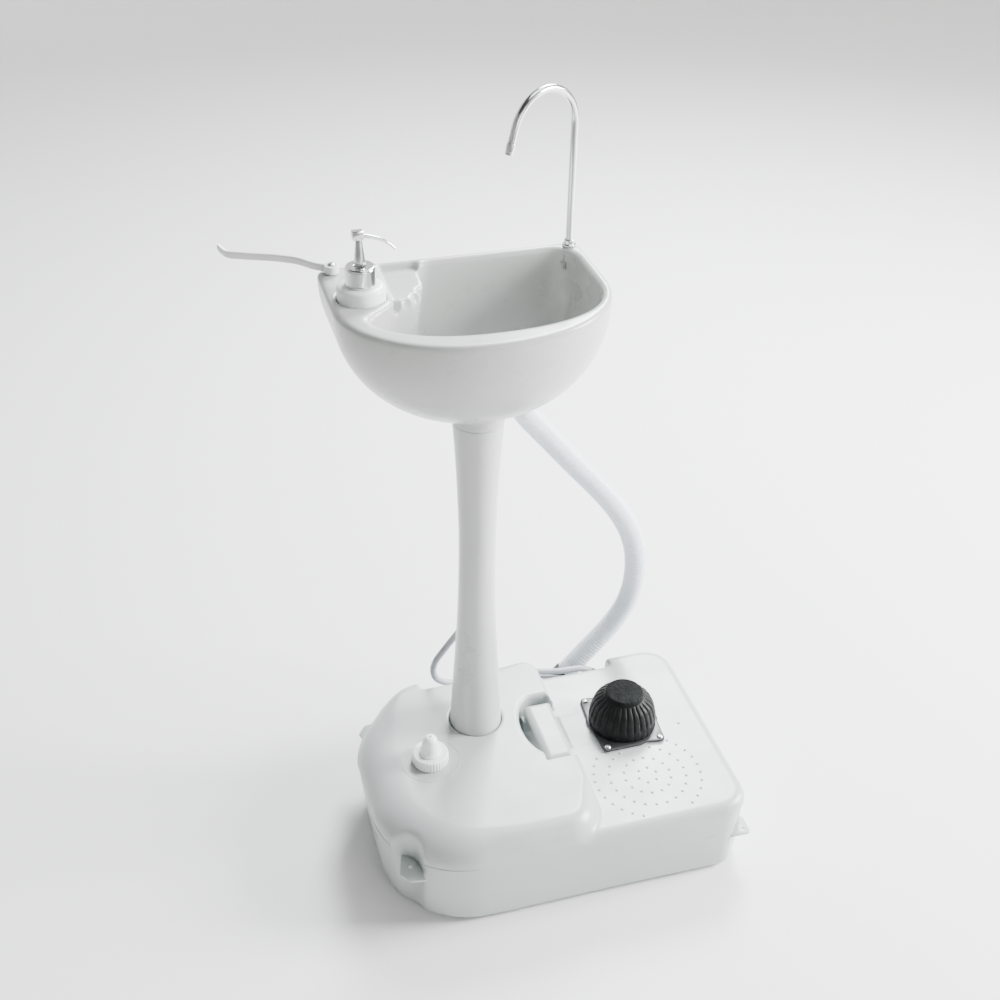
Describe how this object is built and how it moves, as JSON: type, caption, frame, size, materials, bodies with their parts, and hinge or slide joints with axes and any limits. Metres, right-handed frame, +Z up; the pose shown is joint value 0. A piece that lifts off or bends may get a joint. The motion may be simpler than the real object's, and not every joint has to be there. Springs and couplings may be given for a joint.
{
  "type": "portable handwash sink",
  "caption": "Free-standing handwash sink: moulded water tank base with foot pump and carry handle, waisted column, D-shaped bowl, gooseneck spout, soap pump, towel arm, drain hose.",
  "frame": {"origin": "middle of the tank's underside, on the floor", "axes": "+Z is up; +X runs along the tank from the tall block and filler cap to the pump deck; -Y is the user's side, +Y the back where the hoses run"},
  "size_m": [0.6172, 0.4403, 1.0293],
  "materials": {
    "shell": "satin",
    "white": "gloss",
    "chrome": "polished",
    "steel": "satin",
    "rubber": "matte, pebbled",
    "black": "matte",
    "hose": "translucent, corrugated",
    "line": "satin"
  },
  "bodies": {
    "root": {"bowl": "shell", "carry_handle": "shell", "column": "shell", "drain_gasket": "rubber", "drain_hose": "hose", "drain_hose_cuff_bottom": "black", "drain_hose_cuff_top": "black", "drain_locknut": "white", "drain_strainer": "chrome", "draw_strainer": "white", "draw_tube": "line", "faucet_base_nut": "chrome", "faucet_gasket": "rubber", "faucet_locknut": "steel", "faucet_shank": "steel", "filler_gasket": "rubber", "hose_park_elbow": "black", "pump_bellows": "rubber", "pump_flange": "black", "pump_gasket": "rubber", "pump_inlet_elbow": "black", "pump_inlet_valve": "rubber", "pump_outlet_elbow": "black", "pump_outlet_valve": "rubber", "pump_screw_1": "steel", "pump_screw_2": "steel", "pump_screw_3": "steel", "pump_screw_4": "steel", "pump_spring": "steel", "pump_valve_body": "white", "suction_line": "line", "supply_line": "line", "tank_body": "shell", "tank_outlet_elbow": "black", "towel_pivot_bush": "steel", "towel_pivot_screw": "steel"},
    "pump_pedal": {"pump_top_pad": "rubber"},
    "faucet": {"faucet_spout": "chrome", "faucet_nozzle": "chrome"},
    "towel_arm": {"towel_arm": "white"},
    "soap_dispenser": {"soap_bottle": "white", "soap_closure": "chrome", "soap_cylinder": "white", "soap_dip_tube": "white", "soap_spring": "steel"},
    "soap_stem": {"soap_stem": "chrome"},
    "soap_head": {"soap_head": "chrome"},
    "filler_nozzle": {"filler_nozzle": "white"},
    "filler_cap": {"filler_cap": "white"}
  },
  "joints": [
    {"name": "pump_press", "type": "slide", "parent": "root", "child": "pump_pedal", "axis": [0, 0, -1], "range_m": [0, 0.028], "stiffness_N_per_m": 1500, "deforming": ["pump_bellows", "pump_spring"]},
    {"name": "spout_turn", "type": "hinge", "parent": "root", "child": "faucet", "pos_m": [0.0746, 0.195, 0.9], "axis": [0, 0, 1], "continuous": true},
    {"name": "towel_arm_swing", "type": "hinge", "parent": "root", "child": "towel_arm", "pos_m": [-0.23, 0.189, 0.8205], "axis": [0, 0, 1], "range_deg": [-150, 100]},
    {"name": "soap_lift_out", "type": "slide", "parent": "root", "child": "soap_dispenser", "axis": [0, 0, 1], "range_m": [0, 0.075]},
    {"name": "soap_press", "type": "slide", "parent": "soap_dispenser", "child": "soap_stem", "axis": [0, 0, -1], "range_m": [0, 0.0095], "stiffness_N_per_m": 250, "deforming": ["soap_spring"]},
    {"name": "soap_head_turn", "type": "hinge", "parent": "soap_stem", "child": "soap_head", "pos_m": [-0.208, 0.119, 0.89], "axis": [0, 0, 1], "continuous": true},
    {"name": "filler_lift", "type": "slide", "parent": "root", "child": "filler_nozzle", "axis": [0, 0, 1], "range_m": [0, 0.009]},
    {"name": "filler_cap_turn", "type": "hinge", "parent": "filler_nozzle", "child": "filler_cap", "pos_m": [-0.1625, 0.003, 0.16], "axis": [0, 0, 1], "range_deg": [0, 1085]}
  ],
  "couplings": [
    {"joint": "filler_cap_turn", "follows": "filler_lift", "rad_per_m": 2094.4}
  ]
}
